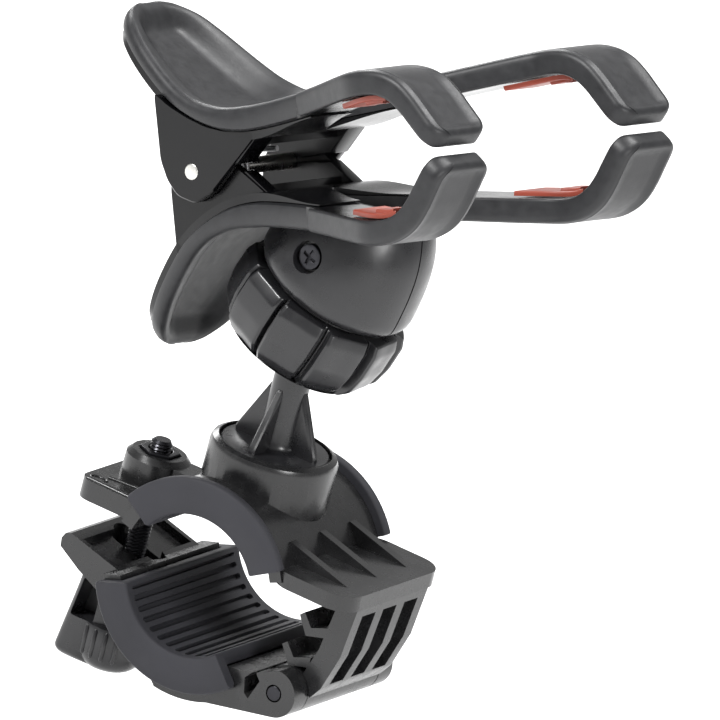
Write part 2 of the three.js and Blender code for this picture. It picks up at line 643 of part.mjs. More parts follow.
// The hard body of one half: paddle backing, cores of both arms, and two ears this far out.
function clipBody(earOuter) {
  const top = -COVER.sag - GAP;
  let body = loft(paddleFrames().slice(1, -2).map(({ x, z, half, nx, nz }) => {
    const w = Math.min(half - 1.2, earOuter);
    const low = top - BACKING_T;
    return [[-w, low], [-w, top], [w, top], [w, low]].map(([a, b]) => [x + nx * b, a, z + nz * b]);
  }));
  body = body.add(armCore()).add(mirrored(armCore(), 1));
  body = body.add(box(BLOCK.x0, BLOCK.x1, -BLOCK.half, BLOCK.half, BLOCK.z0, BLOCK.z1));
  const shape = new THREE.Shape();
  shape.moveTo(-8.4, 15);
  shape.lineTo(-8.4, 3.2);
  shape.absarc(0, 0, EAR.r, 205 * DEG, 312 * DEG, false);
  shape.lineTo(17, 5.4);
  shape.lineTo(10, 6.2);
  shape.lineTo(4, 7.6);
  shape.lineTo(-3, 11.3);
  for (const y0 of [-earOuter, earOuter - EAR.t]) body = body.add(alongY(shape, y0, y0 + EAR.t, 6));
  body = body.subtract(notch());
  return body.subtract(barY(PIVOT_R + GAP, -30, 30, 0, 0, 16));
}

// The eye on the lower half that the two halves of the housing close on.
function tongueSolid(grow = 0) {
  const { x0, x1, half, top, bottom, bevel } = TONGUE;
  const side = polygon([
    [x0 - grow, top], [x1 + grow, top], [x1 + grow, bottom - grow],
    [x0 + bevel - grow, bottom - grow], [x0 - grow, bottom + bevel - grow],
  ]);
  return alongY(side, -half - grow, half + grow);
}

function lowerClipBody() {
  const dx = -PIVOT.x;
  const dz = SHELL_SCREW.s - PIVOT.z;
  const x = dx * Math.cos(CLIP_PITCH) - dz * Math.sin(CLIP_PITCH);
  const z = dx * Math.sin(CLIP_PITCH) + dz * Math.cos(CLIP_PITCH);
  const eye = barY(SHELL_SCREW.post + GAP, -5, 5, x, z, 20);
  return mirrored(clipBody(EAR.lower), 2).add(tongueSolid()).subtract(eye);
}

function torsionSpring() {
  const { r, wire, turns, y0, y1 } = SPRING;
  const points = [new THREE.Vector3(11.5, y0, 3.6)];
  const steps = 8 * turns;
  for (let i = 0; i <= steps; i++) {
    const angle = Math.PI / 2 - 2 * Math.PI * turns * i / steps;
    points.push(new THREE.Vector3(r * Math.cos(angle), y0 + (y1 - y0) * i / steps, r * Math.sin(angle)));
  }
  points.push(new THREE.Vector3(11.5, y1, 3.2));
  const section = new THREE.Shape();
  section.absarc(0, 0, wire, 0, 2 * Math.PI, false);
  const extrudePath = new THREE.CatmullRomCurve3(points, false, "centripetal");
  const options = { steps: steps + 4, extrudePath, curveSegments: 2, bevelEnabled: false };
  return solid(new THREE.ExtrudeGeometry(section, options));
}

// ---------------------------------------------------------------- assembly

const toBall = new THREE.Matrix4().makeTranslation(0, 0, BALL.z);
const toSocket = toBall.clone()
  .multiply(new THREE.Matrix4().makeRotationZ(SWIVEL))
  .multiply(new THREE.Matrix4().makeRotationY(LEAN))
  .multiply(new THREE.Matrix4().makeRotationZ(SPIN));
const toClip = toSocket.clone()
  .multiply(new THREE.Matrix4().makeTranslation(PIVOT.x, 0, PIVOT.z))
  .multiply(new THREE.Matrix4().makeRotationY(CLIP_PITCH));

const mount = new THREE.Group();
mount.name = "phone_handlebar_mount";

function place(name, body, material, matrix = null) {
  const mesh = new THREE.Mesh(geometryOf(body), material);
  mesh.name = name;
  if (matrix) mesh.geometry.applyMatrix4(matrix);
  mount.add(mesh);
}

place("upper_jaw", upperJaw(), JAW_PLASTIC);
place("lower_jaw", lowerJaw(), JAW_PLASTIC);
place("upper_liner", liner(UPPER_ARC), RUBBER);
place("lower_liner", liner(LOWER_ARC), RUBBER);
place("hinge_pin", hingePin(), BLACK_ZINC);
place("hex_nut", hexNut(), BLACK_ZINC);
place("clamp_bolt", clampBolt(), BLACK_ZINC);
place("knob_washer", washer(), BLACK_ZINC);
place("clamp_knob", clampKnob(), SHELL_PLASTIC);
place("ball_stem", ballStem(), SHELL_PLASTIC);
place("stem_screw", stemScrew(), BLACK_ZINC);
place("lower_ball_ring", sphereZone(CUP.inner, CUP.outer, 95, 111), RUBBER, toSocket);
place("upper_ball_cup", sphereZone(CUP.inner, CUP.outer, 8, 50), RUBBER, toSocket);
place("ring_nut", ringNut(), SHELL_PLASTIC, toSocket);
const whole = housing().subtract(lowerHalfZone());
place("socket_shell_near", socketShell(-1, whole), SHELL_PLASTIC, toSocket);
place("socket_shell_far", socketShell(1, whole), SHELL_PLASTIC, toSocket);
place("socket_screw", shellScrew(), BLACK_ZINC, toSocket);
place("clip_lower_body", lowerClipBody(), GLOSS_BLACK, toClip);
place("clip_upper_body", clipBody(EAR.upper), GLOSS_BLACK, toClip);
const cover = paddleCover();
place("paddle_cover_upper", cover, SOFT_TOUCH, toClip);
place("paddle_cover_lower", mirrored(cover, 2).subtract(tongueSolid(GAP)), SOFT_TOUCH, toClip);
const padding = [["sleeve", armSleeve(), SOFT_TOUCH], ["grip", gripPad(), RED_SILICONE]];
for (const [kind, shape, material] of padding) {
  place(`${kind}_upper_near`, shape, material, toClip);
  place(`${kind}_upper_far`, mirrored(shape, 1), material, toClip);
  place(`${kind}_lower_near`, mirrored(shape, 2), material, toClip);
  place(`${kind}_lower_far`, mirrored(mirrored(shape, 1), 2), material, toClip);
}
place("pivot_pin", barY(PIVOT_R, -EAR.upper - 0.2, EAR.upper + 0.2, 0, 0, 16), BRIGHT_STEEL, toClip);
place("torsion_spring", torsionSpring(), SPRING_STEEL, toClip);

export default mount;
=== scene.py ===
"""Looks of a phone handlebar mount.

The liners, screw, knob, stem, ring nut, socket shells, clip bodies, sleeves, pads, covers and spring are
rebuilt finely over the CAD frame. The jaws and the small steel and rubber pieces stay and get softened
edges. Every piece gets its material.
"""

import math

import bpy
import numpy as np
from mathutils import Matrix, Vector


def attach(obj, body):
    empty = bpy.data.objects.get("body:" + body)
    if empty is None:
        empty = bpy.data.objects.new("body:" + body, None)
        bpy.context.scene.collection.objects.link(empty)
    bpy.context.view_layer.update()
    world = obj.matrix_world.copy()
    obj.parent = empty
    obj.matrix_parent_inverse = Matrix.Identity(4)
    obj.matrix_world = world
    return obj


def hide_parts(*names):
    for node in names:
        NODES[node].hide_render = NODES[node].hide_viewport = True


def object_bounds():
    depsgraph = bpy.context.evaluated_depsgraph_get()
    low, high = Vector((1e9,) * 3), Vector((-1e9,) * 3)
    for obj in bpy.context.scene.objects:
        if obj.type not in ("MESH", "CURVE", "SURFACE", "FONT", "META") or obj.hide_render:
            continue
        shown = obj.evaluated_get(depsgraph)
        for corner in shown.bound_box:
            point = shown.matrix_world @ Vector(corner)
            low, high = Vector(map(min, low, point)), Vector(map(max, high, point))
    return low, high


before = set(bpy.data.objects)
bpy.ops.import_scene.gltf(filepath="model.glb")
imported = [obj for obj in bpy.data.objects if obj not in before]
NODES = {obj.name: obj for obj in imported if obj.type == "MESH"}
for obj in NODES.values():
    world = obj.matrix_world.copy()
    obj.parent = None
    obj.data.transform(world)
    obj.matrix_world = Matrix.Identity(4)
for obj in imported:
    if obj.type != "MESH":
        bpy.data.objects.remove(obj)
CAD_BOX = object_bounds()

MM = 0.001
DEG = math.pi / 180

# ---------------------------------------------------------------- the object's own frames, in millimetres

BALL_Z = 57.5
PIVOT_IN_SOCKET = Vector((-33.8, 0, 17.5))
TO_BAR = Matrix.Identity(4)
SWIVEL, LEAN, SPIN, CLIP_PITCH = 3.8 * DEG, 18.6 * DEG, -10.9 * DEG, -45 * DEG
TO_SOCKET = (Matrix.Translation((0, 0, BALL_Z)) @ Matrix.Rotation(SWIVEL, 4, "Z")
             @ Matrix.Rotation(LEAN, 4, "Y") @ Matrix.Rotation(SPIN, 4, "Z"))
TO_CLIP = TO_SOCKET @ Matrix.Translation(PIVOT_IN_SOCKET) @ Matrix.Rotation(CLIP_PITCH, 4, "Y")


# ---------------------------------------------------------------- materials

BROAD_SCALE = 60.0        # noise cells for each metre, where the tint drifts
GRAIN_SCALE = 1400.0      # the same for the fine grain
GRAIN_STRENGTH = 0.35
PALE_GAIN, PALE_LIFT = 1.7, 0.01    # how the pale patches differ from the base colour


def material(name, color, rough, *, metal=0.0, vary=0.12, mottle=0.0, mottle_scale=90.0, grain=0.02,
             rough_vary=0.06, gloss=0.5):
    """A surface whose colour, roughness and fine grain all drift a little from place to place."""
    mat = bpy.data.materials.new(name)
    mat.use_nodes = True
    nodes = mat.node_tree.nodes
    links = mat.node_tree.links
    shader = nodes["Principled BSDF"]
    shader.inputs["Metallic"].default_value = metal
    shader.inputs["Specular IOR Level"].default_value = gloss
    where = nodes.new("ShaderNodeTexCoord")

    def noise(scale, detail):
        node = nodes.new("ShaderNodeTexNoise")
        node.inputs["Scale"].default_value = scale
        node.inputs["Detail"].default_value = detail
        links.new(where.outputs["Object"], node.inputs["Vector"])
        return node.outputs["Fac"]

    def spread(source, low, high):
        node = nodes.new("ShaderNodeMapRange")
        node.inputs["From Min"].default_value = 0.3
        node.inputs["From Max"].default_value = 0.7
        node.inputs["To Min"].default_value = low
        node.inputs["To Max"].default_value = high
        links.new(source, node.inputs["Value"])
        return node.outputs["Result"]

    broad = noise(BROAD_SCALE, 4.0)
    patches = noise(mottle_scale, 5.0)
    tint = nodes.new("ShaderNodeMix")
    tint.data_type = "RGBA"
    tint.inputs["A"].default_value = (*[c * (1 - vary) for c in color], 1)
    tint.inputs["B"].default_value = (*[min(1, c * (1 + vary)) for c in color], 1)
    links.new(spread(broad, 0.0, 1.0), tint.inputs["Factor"])
    pale = nodes.new("ShaderNodeMix")
    pale.data_type = "RGBA"
    pale.inputs["B"].default_value = (*[min(1, c * PALE_GAIN + PALE_LIFT) for c in color], 1)
    links.new(tint.outputs["Result"], pale.inputs["A"])
    links.new(spread(patches, 0.0, mottle), pale.inputs["Factor"])
    links.new(pale.outputs["Result"], shader.inputs["Base Color"])
    links.new(spread(patches, rough - rough_vary, rough + rough_vary), shader.inputs["Roughness"])
    bump = nodes.new("ShaderNodeBump")
    bump.inputs["Strength"].default_value = GRAIN_STRENGTH
    bump.inputs["Distance"].default_value = grain * MM
    links.new(noise(GRAIN_SCALE, 6.0), bump.inputs["Height"])
    links.new(bump.outputs["Normal"], shader.inputs["Normal"])
    return mat


JAW_PLASTIC = material("jaw_plastic", (0.009, 0.009, 0.0095), 0.26, grain=0.03, mottle=0.25, mottle_scale=300)
SHELL_PLASTIC = material("shell_plastic", (0.01, 0.01, 0.0112), 0.3, grain=0.025, mottle=0.2,
                         mottle_scale=240)
LINER_RUBBER = material("liner_rubber", (0.02, 0.02, 0.0245), 0.7, grain=0.05, mottle=0.15, gloss=0.35)
SOFT_TOUCH = material("soft_touch", (0.0105, 0.0107, 0.012), 0.46, grain=0.06, mottle=0.45, mottle_scale=420,
                      rough_vary=0.05, gloss=0.4)
GLOSS_BLACK = material("gloss_black", (0.0025, 0.0025, 0.003), 0.22, grain=0.006, rough_vary=0.04, gloss=0.3)
RED_SILICONE = material("red_silicone", (0.26, 0.042, 0.022), 0.45, grain=0.05, mottle=0.15)
BLACK_ZINC = material("black_zinc", (0.03, 0.03, 0.034), 0.28, metal=0.85, grain=0.01)
BRIGHT_STEEL = material("bright_steel", (0.62, 0.61, 0.58), 0.3, metal=1.0, grain=0.006)
SPRING_STEEL = material("spring_steel", (0.3, 0.3, 0.31), 0.35, metal=1.0, grain=0.006)


# ---------------------------------------------------------------- mesh helpers

def piece(name, vertices, faces, mat, body, stands_for, to=TO_BAR, mirror=(1, 1, 1), sharp=40):
    """A mesh from points in millimetres in one of the object's frames, riding on a CAD body."""
    flip = mirror[0] * mirror[1] * mirror[2] < 0
    points = [to @ Vector((p[0] * mirror[0], p[1] * mirror[1], p[2] * mirror[2])) * MM for p in vertices]
    mesh = bpy.data.meshes.new(name)
    mesh.from_pydata(points, [], [tuple(reversed(f)) if flip else tuple(f) for f in faces])
    mesh.validate()
    obj = bpy.data.objects.new(name, mesh)
    bpy.context.scene.collection.objects.link(obj)
    finish_mesh(obj, mat, sharp)
    if body:
        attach(obj, body)
        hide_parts(*stands_for)
    return obj


def finish_mesh(obj, mat, sharp):
    mesh = obj.data
    mesh.materials.clear()
    mesh.materials.append(mat)
    mesh.shade_smooth()
    mesh.set_sharp_from_angle(angle=sharp * DEG)


def band(rings, closed=False):
    """Vertices and faces of a skin through rings of points, capped at its ends unless it is closed."""
    rings = np.asarray(rings, float)
    count, around, _ = rings.shape
    faces = []
    for i in range(count if closed else count - 1):
        k = (i + 1) % count
        for j in range(around):
            n = (j + 1) % around
            faces.append((i * around + j, i * around + n, k * around + n, k * around + j))
    vertices = [tuple(p) for p in rings.reshape(-1, 3)]
    if not closed:
        faces.append(tuple(reversed(range(around))))
        faces.append(tuple(range((count - 1) * around, count * around)))
    if skin_volume(vertices, faces) < 0:
        faces = [tuple(reversed(f)) for f in faces]
    return vertices, faces


def skin_volume(vertices, faces):
    total = 0.0
    for f in faces:
        a = np.array(vertices[f[0]])
        for i in range(1, len(f) - 1):
            total += float(np.dot(a, np.cross(vertices[f[i]], vertices[f[i + 1]])))
    return total


def joined(*parts):
    vertices, faces = [], []
    for v, f in parts:
        start = len(vertices)
        vertices += list(v)
        faces += [tuple(i + start for i in face) for face in f]
    return vertices, faces


def curve(stations, per_span):
    """A smooth run through rows of numbers, with this many steps between each two rows."""
    p = np.asarray(stations, float)
    tangent = np.gradient(p, axis=0)
    out = []
    for i in range(len(p) - 1):
        for t in np.arange(per_span) / per_span:
            h = 1 - t
            out.append(p[i] * h * h * (1 + 2 * t) + tangent[i] * h * h * t
                       + p[i + 1] * t * t * (3 - 2 * t) - tangent[i + 1] * t * t * h)
    out.append(p[-1])
    return np.array(out)


def rounded(points, radius, steps=4):
    """A closed outline with its corners rounded; radius may be one number or one for each corner."""
    p = np.asarray(points, float)
    radii = [radius] * len(p) if np.isscalar(radius) else list(radius)
    out = []
    for i, corner in enumerate(p):
        back, ahead = p[i - 1] - corner, p[(i + 1) % len(p)] - corner
        lb, la = np.linalg.norm(back), np.linalg.norm(ahead)
        r = min(radii[i], lb * 0.45, la * 0.45)
        if r <= 0:
            out.append(corner)
            continue
        a, b = corner + back / lb * r, corner + ahead / la * r
        for t in np.linspace(0, 1, steps + 1):
            out.append(a * (1 - t) ** 2 + corner * 2 * t * (1 - t) + b * t * t)
    return np.array(out)


def lathe(profile, sides=96, shape=None):
    """A closed profile of [radius, height] turned about Z; shape(angle, height) scales each radius."""
    rings = []
    for angle in np.arange(sides) * 2 * math.pi / sides:
        ring = []
        for r, h in profile:
            k = shape(angle, r, h) if shape else 1.0
            ring.append((r * k * math.cos(angle), r * k * math.sin(angle), h))
        rings.append(ring)
    return band(rings, closed=True)


def smoothstep(x):
    x = min(1.0, max(0.0, x))
    return x * x * (3 - 2 * x)


def round_off(left, radius):
    """How far an outline with a rounded end has drawn in, this far before the end."""
    return radius * (1 - math.sqrt(max(0.0, 1 - (max(0.0, radius - left) / radius) ** 2)))


def cut(obj, *cutters):
    """Cuts closed meshes out of obj and throws the cutters away."""
    for cutter in cutters:
        mod = obj.modifiers.new("cut", "BOOLEAN")
        mod.operation = "DIFFERENCE"
        mod.solver = "EXACT"
        mod.object = cutter
    bpy.context.view_layer.update()
    made = obj.evaluated_get(bpy.context.evaluated_depsgraph_get())
    mesh = bpy.data.meshes.new_from_object(made)
    mat = obj.data.materials[0]
    obj.modifiers.clear()
    obj.data = mesh
    finish_mesh(obj, mat, 38)
    for cutter in cutters:
        bpy.data.objects.remove(cutter)


def cutter(vertices, faces, to=TO_BAR, mirror=(1, 1, 1)):
    return piece("cutter", vertices, faces, JAW_PLASTIC, None, (), to, mirror)


# ---------------------------------------------------------------- CAD pieces that stay

BEVEL_SEGMENTS = 2
BEVEL_FROM = 27 * DEG     # softer corners than this stay as they are


def keep(node, mat, bevel):
    """A CAD node with softened edges and a real material."""
    obj = NODES[node]
    obj.data.materials.clear()
    obj.data.materials.append(mat)
    obj.data.shade_smooth()
    weld = obj.modifiers.new("weld", "WELD")
    weld.merge_threshold = 1e-6
    edge = obj.modifiers.new("edge", "BEVEL")
    edge.width = bevel * MM
    edge.segments = BEVEL_SEGMENTS
    edge.limit_method = "ANGLE"
    edge.angle_limit = BEVEL_FROM
    edge.use_clamp_overlap = True
    level = obj.modifiers.new("level", "WEIGHTED_NORMAL")
    level.weight = 90
    level.keep_sharp = False


keep("upper_jaw", JAW_PLASTIC, 0.4)
keep("lower_jaw", JAW_PLASTIC, 0.4)
for steel in ("hinge_pin", "hex_nut", "knob_washer", "stem_screw", "socket_screw"):
    keep(steel, BLACK_ZINC, 0.2)
keep("pivot_pin", BRIGHT_STEEL, 0.3)
for rubber in ("lower_ball_ring", "upper_ball_cup"):
    keep(rubber, LINER_RUBBER, 0.1)

# ---------------------------------------------------------------- rubber liners

LINER_IN, LINER_OUT, FLANGE_R = 16.0, 19.0, 24.2
LINER_INNER, LINER_HALF = 20.7, 23.5
GROOVE_PITCH = 9.3        # degrees
GROOVE_DEPTH = 1.0
GROOVE_HALF = 21.0        # half the length of each groove
GROOVE_W = 0.68           # half its width
GROOVE_EDGE = 0.22        # how wide its wall's slope is
PLAIN_END = 4.0           # degrees without grooves at each end of the arc
LINER_STEP = 0.35         # degrees between two rows of points
LINER_SOFT = 0.35         # how far the end faces' edges are eased


def groove_depth(across, y):
    """Depth of a groove with round ends, this far from its middle line and along the bar."""
    past = max(0.0, abs(y) - (GROOVE_HALF - GROOVE_W))
    return GROOVE_DEPTH * smoothstep((GROOVE_W - math.hypot(across, past)) / GROOVE_EDGE)


def liner(name, start, end, body):
    """A half-round sleeve between two flanges, its gripping face cut by grooves that run along the bar."""
    straight = np.linspace(0, GROOVE_HALF - 1.4, 12)
    round_end = np.linspace(GROOVE_HALF - 1.2, GROOVE_HALF + 0.2, 9)
    half_y = np.concatenate([straight, round_end, [LINER_HALF - 1.2, LINER_HALF - 0.4]])
    inner = [(LINER_IN, y) for y in np.concatenate([-half_y[:0:-1], half_y])]
    outer = [(LINER_IN + 0.4, LINER_HALF), (FLANGE_R - 0.5, LINER_HALF), (FLANGE_R, LINER_HALF - 0.5),
             (FLANGE_R, LINER_INNER + 0.5), (FLANGE_R - 0.5, LINER_INNER), (LINER_OUT + 0.2, LINER_INNER),
             (LINER_OUT, LINER_INNER - 0.2)]
    loop = inner + outer + [(r, -y) for r, y in reversed(outer)]
    rings = []
    for angle in np.linspace(start, end, int((end - start) / LINER_STEP)):
        phase = ((angle - start) / GROOVE_PITCH) % 1.0
        across = (phase - 0.5) * GROOVE_PITCH * DEG * LINER_IN
        edge = min(angle - start, end - angle)
        whole = smoothstep((edge - PLAIN_END) / 0.8)
        a = angle * DEG
        ring = []
        for r, y in loop:
            k = whole * groove_depth(across, y) if r == LINER_IN else 0
            soft = LINER_SOFT * (1 - smoothstep(edge / 0.9))
            r_now = r + k + (soft if r < LINER_IN + 0.5 else -soft)
            ring.append((r_now * math.cos(a), y, r_now * math.sin(a)))
        rings.append(ring)
    piece(name + "_skin", *band(rings), LINER_RUBBER, body, (name,), sharp=50)


liner("upper_liner", 30, 147, "clamp_top")
liner("lower_liner", 200, 312, "clamp_lower")

# ---------------------------------------------------------------- clamping screw and lug details

BOLT_X, BOLT_R = -27.4, 2.5
BOLT_HEAD, BOLT_TOP = -34.2, 19.5
THREAD_PITCH, THREAD_DEPTH, THREAD_START = 0.8, 0.32, -10.0
HEAD_R, HEAD_T = 4.4, 3.0


def bolt():
    """The clamping screw: a hexagonal head, a plain shank and a thread up to its chamfered tip."""
    head = [[(HEAD_R * k * math.cos(a), HEAD_R * k * math.sin(a), z) for a in np.arange(6) * math.pi / 3]
            for k, z in ((0.92, BOLT_HEAD), (1, BOLT_HEAD + 0.4), (1, BOLT_HEAD + HEAD_T))]
    thread = [(BOLT_R, h) for h in np.arange(THREAD_START, BOLT_TOP - 0.5, THREAD_PITCH / 8)]
    foot = [(0.01, BOLT_HEAD + 1), (BOLT_R, BOLT_HEAD + 1)]
    profile = foot + thread + [(BOLT_R - 0.7, BOLT_TOP), (0.01, BOLT_TOP)]

    def shape(angle, r, h):
        if r < BOLT_R or h <= THREAD_START:
            return 1.0
        turn = (h / THREAD_PITCH - angle / (2 * math.pi)) % 1.0
        return 1 - THREAD_DEPTH * (1 - abs(2 * turn - 1)) / BOLT_R

    vertices, faces = joined(band(head), lathe(profile, 48, shape))
    placed = [(x + BOLT_X, y, z) for x, y, z in vertices]
    piece("clamp_bolt_skin", placed, faces, BLACK_ZINC, "knob", ("clamp_bolt",))


bolt()


KNOB_TOP, KNOB_FOOT = -13.9, -34.6
WING_TOP, WING_REACH, WING_HALF, WING_DRAFT = 8.2, 11.1, 7.0, 0.03
POCKET_FLOOR, POCKET_CEILING, POCKET_WALL, POCKET_WEB = -24.6, -15.3, 1.4, 0.8
DRUM_R, DRUM_TOP, DRUM_FOOT, DRUM_ROUND = 7.6, -24.4, -35.1, 4.6
FIRST_RIB, RIB_STEP = -113, 20     # degrees round the drum
KNOB_RIB_R, KNOB_RIBS = 0.55, 4    # ribs on each of its two opposite sides
KNOB_RIB_ROWS = [(0.4, -25.0), (1, -25.4), (1, -30.6), (0.9, -31.4), (0.3, -31.9)]    # share of R, height
WING_FOOT_ROUND, WING_TOP_ROUND = 2.4, 0.6


def wing_reach(z):
    return WING_TOP + (WING_REACH - WING_TOP) * (KNOB_TOP - z) / (KNOB_TOP - KNOB_FOOT)


def knob():
    """One hollowed finger wing joined to a hub and a round-footed drum with short ribs."""
    rings = []
    heights = np.concatenate([KNOB_TOP - np.array([0, 0.1, 0.3, 0.6]), np.linspace(-16, -32, 9),
                              KNOB_FOOT + WING_FOOT_ROUND * (1 - np.sin(np.linspace(0.2, math.pi / 2, 8)))])
    for z in heights:
        inset = round_off(z - KNOB_FOOT, WING_FOOT_ROUND) + round_off(KNOB_TOP - z, WING_TOP_ROUND)
        reach = wing_reach(z) - inset
        half = WING_HALF - WING_DRAFT * (z - KNOB_FOOT) - inset
        corners = [(2.5, -4.6), (2.5, 4.6), (-4, half), (-reach, half), (-reach, -half), (-4, -half)]
        plan = rounded(corners, (0.5, 0.5, 3, 2.2, 2.2, 3), 6)
        rings.append([(x + BOLT_X, y, z) for x, y in plan])
    wing = piece("clamp_knob_wing", *band(rings), SHELL_PLASTIC, "knob", ("clamp_knob",))
    low_end = POCKET_WALL - wing_reach(POCKET_FLOOR)
    high_end = POCKET_WALL - wing_reach(POCKET_CEILING)
    hollow = rounded([(-2.4, POCKET_FLOOR), (low_end, POCKET_FLOOR), (high_end, POCKET_CEILING),
                      (-2.4, POCKET_CEILING)], 0.7)
    cutters = []
    for side in (-1, 1):
        walls = [[(x + BOLT_X, side * y, z) for x, z in hollow] for y in (POCKET_WEB, WING_HALF + 2)]
        cutters.append(cutter(*band(walls)))
    cut(wing, *cutters)

    foot = [(DRUM_R - DRUM_ROUND * (1 - math.sin(a)), DRUM_FOOT + DRUM_ROUND * (1 - math.cos(a)))
            for a in np.linspace(0, math.pi / 2, 12)]
    shoulder = [(DRUM_R, DRUM_TOP - 0.8), (DRUM_R - 0.25, DRUM_TOP - 0.2), (DRUM_R - 0.8, DRUM_TOP)]
    hub = [(5, DRUM_TOP), (5, KNOB_TOP), (0.01, KNOB_TOP)]
    profile = [(0.01, DRUM_FOOT)] + foot + shoulder + hub
    parts = [lathe(profile, 72)]
    for opposite in (0, 180):
        for i in range(KNOB_RIBS):
            a = (FIRST_RIB + RIB_STEP * i + opposite) * DEG
            ring = [(KNOB_RIB_R * math.cos(t), KNOB_RIB_R * math.sin(t)) for t in np.arange(12) * math.pi / 6]
            x, y = (DRUM_R - 0.1) * math.cos(a), (DRUM_R - 0.1) * math.sin(a)
            rib = [[(x + u * k, y + v * k, z) for u, v in ring] for k, z in KNOB_RIB_ROWS]
            parts.append(band(rib))
    vertices, faces = joined(*parts)
    placed = [(x + BOLT_X, y, z) for x, y, z in vertices]
    piece("clamp_knob_drum", placed, faces, SHELL_PLASTIC, "knob", ("clamp_knob",))


knob()


def bead(name, points, radius):
    """A thin raised moulding on the upper lug, along a run of points."""
    path = np.array(points, float)
    tangent = np.gradient(path, axis=0)
    tangent /= np.linalg.norm(tangent, axis=1)[:, None]
    rings = []
    for p, t in zip(path, tangent):
        side = np.cross(t, (0, 0, 1))
        side /= np.linalg.norm(side)
        up = np.cross(side, t)
        around = np.arange(10) * math.pi / 5
        rings.append([tuple(p + radius * (math.cos(a) * side + math.sin(a) * up)) for a in around])
    piece(name, *band(rings), JAW_PLASTIC, "clamp_top", ())


for side_name, side in (("near", -1), ("far", 1)):
    turn = np.linspace(0.3, 2 * math.pi - 0.3, 24)
    oval = [(-33.4 + 2.0 * math.cos(a), side * (13.2 - 1.3 * math.sin(a)), 10.0) for a in turn]
    rim = [(-35 + 1.4 * i, side * (15.2 + 0.03 * i), 9.9) for i in range(11)]
    ridge = [(-32.6 + 1.2 * i, side * (10.2 - 0.2 * i), 10.0) for i in range(10)]
    bead(f"lug_oval_{side_name}", oval, 0.3)
    bead(f"lug_rim_{side_name}", rim, 0.75)
    bead(f"lug_ridge_{side_name}", ridge, 0.5)

# ---------------------------------------------------------------- stem and ball

BALL_R = 10.0
NECK_R = 4.2
DISC_R, DISC_LOW, DISC_TOP = 12.4, 26.3, 29.2
RIB_REACH, RIB_TOP, RIB_T = 10.6, 44.0, 1.7
RIB_EDGE = 0.35           # how far the ribs' edges are eased, above this height
RIB_EDGE_FROM = 31


def stem():
    """The ball, its round neck on a disc, and four triangular ribs."""
    where_neck = math.asin(NECK_R / BALL_R)
    up_the_ball = np.linspace(where_neck, math.pi, 40)
    ball = [(BALL_R * math.sin(a), BALL_Z - BALL_R * math.cos(a)) for a in up_the_ball]
    neck = curve([(NECK_R + 1.6, DISC_TOP), (NECK_R + 0.3, DISC_TOP + 1.4), (NECK_R, 36), (NECK_R, 46)], 5)
    disc = [(0.01, DISC_LOW), (DISC_R, DISC_LOW), (DISC_R, DISC_TOP - 0.5), (DISC_R - 0.5, DISC_TOP)]
    profile = disc + [tuple(p) for p in neck] + ball[:-1] + [(0.01, BALL_Z + BALL_R)]
    parts = [lathe(profile, 72)]
    outline = rounded([(0, DISC_TOP - 0.5), (RIB_REACH, DISC_TOP - 0.5), (RIB_REACH, DISC_TOP + 1),
                       (NECK_R - 0.2, RIB_TOP), (0, RIB_TOP)], (0, 0, 0.8, 1.5, 0))
    for turn in range(4):
        spin = Matrix.Rotation(turn * math.pi / 2, 4, "Z")
        rings = []
        half = RIB_T / 2
        for y, inset in ((-half, RIB_EDGE), (RIB_EDGE - half, 0), (half - RIB_EDGE, 0), (half, RIB_EDGE)):
            ring = []
            for x, z in outline:
                drop = inset if z > RIB_EDGE_FROM else 0
                ring.append(tuple(spin @ Vector((max(x - inset, 0), y, z - drop))))
            rings.append(ring)
        parts.append(band(rings))
    piece("ball_stem_skin", *joined(*parts), SHELL_PLASTIC, "stem", ("ball_stem",))


stem()

# ---------------------------------------------------------------- ring nut

NUT_R, NUT_LOW, NUT_TOP, NUT_BORE = 20.4, -5.2, 10.9, 15.2
NUT_LOBES = 10
NUT_FIRST = 24 * DEG      # where the first notch is
NUT_NOTCH = 2.1           # depth of the notches between the lobes
NUT_NOTCH_HALF = 0.55
NUT_SLANT = 1.1           # how much lower one side of a lobe is than the other
NUT_FLAT = 0.6            # how far the middle of a lobe falls below its corners
NUT_CORNER = 0.4          # depth of the lobes' bevelled corners
NUT_SIDES = 640


def ring_nut():
    """A castellated ring: ten slanted lobes with bevelled corners, parted by square notches."""
    outline = rounded([(9.3, NUT_LOW), (NUT_R - 3.6, NUT_LOW), (NUT_R - 0.9, NUT_LOW + 3.0), (NUT_R, 2.4),
                       (NUT_R, 8.4), (NUT_R - 1.0, NUT_TOP), (NUT_BORE, NUT_TOP), (NUT_BORE, -4.2),
                       (9.6, -4.2)], (0.3, 1.0, 0.8, 0.8, 0.6, 0.5, 0.3, 0, 0.3), 4)

    def shape(angle, r, h):
        if r < NUT_R - 4.0:
            return 1.0
        phase = ((angle - NUT_FIRST) * NUT_LOBES / (2 * math.pi)) % 1.0
        away = min(phase, 1 - phase) * 2 * math.pi / NUT_LOBES * NUT_R
        notch = 1 - smoothstep((away - NUT_NOTCH_HALF) / 0.3)
        corner = 1 - smoothstep((away - NUT_NOTCH_HALF - 0.3) / 0.7)
        flat = NUT_FLAT * (1 - math.cos(phase * 2 * math.pi)) / 2
        groove = NUT_CORNER * corner + (NUT_NOTCH - NUT_CORNER) * notch
        return 1 - (flat + NUT_SLANT * phase + groove) / NUT_R

    piece("ring_nut_skin", *lathe(outline, NUT_SIDES, shape), SHELL_PLASTIC, "socket_nut", ("ring_nut",),
          TO_SOCKET, sharp=34)


ring_nut()

# ---------------------------------------------------------------- socket shells

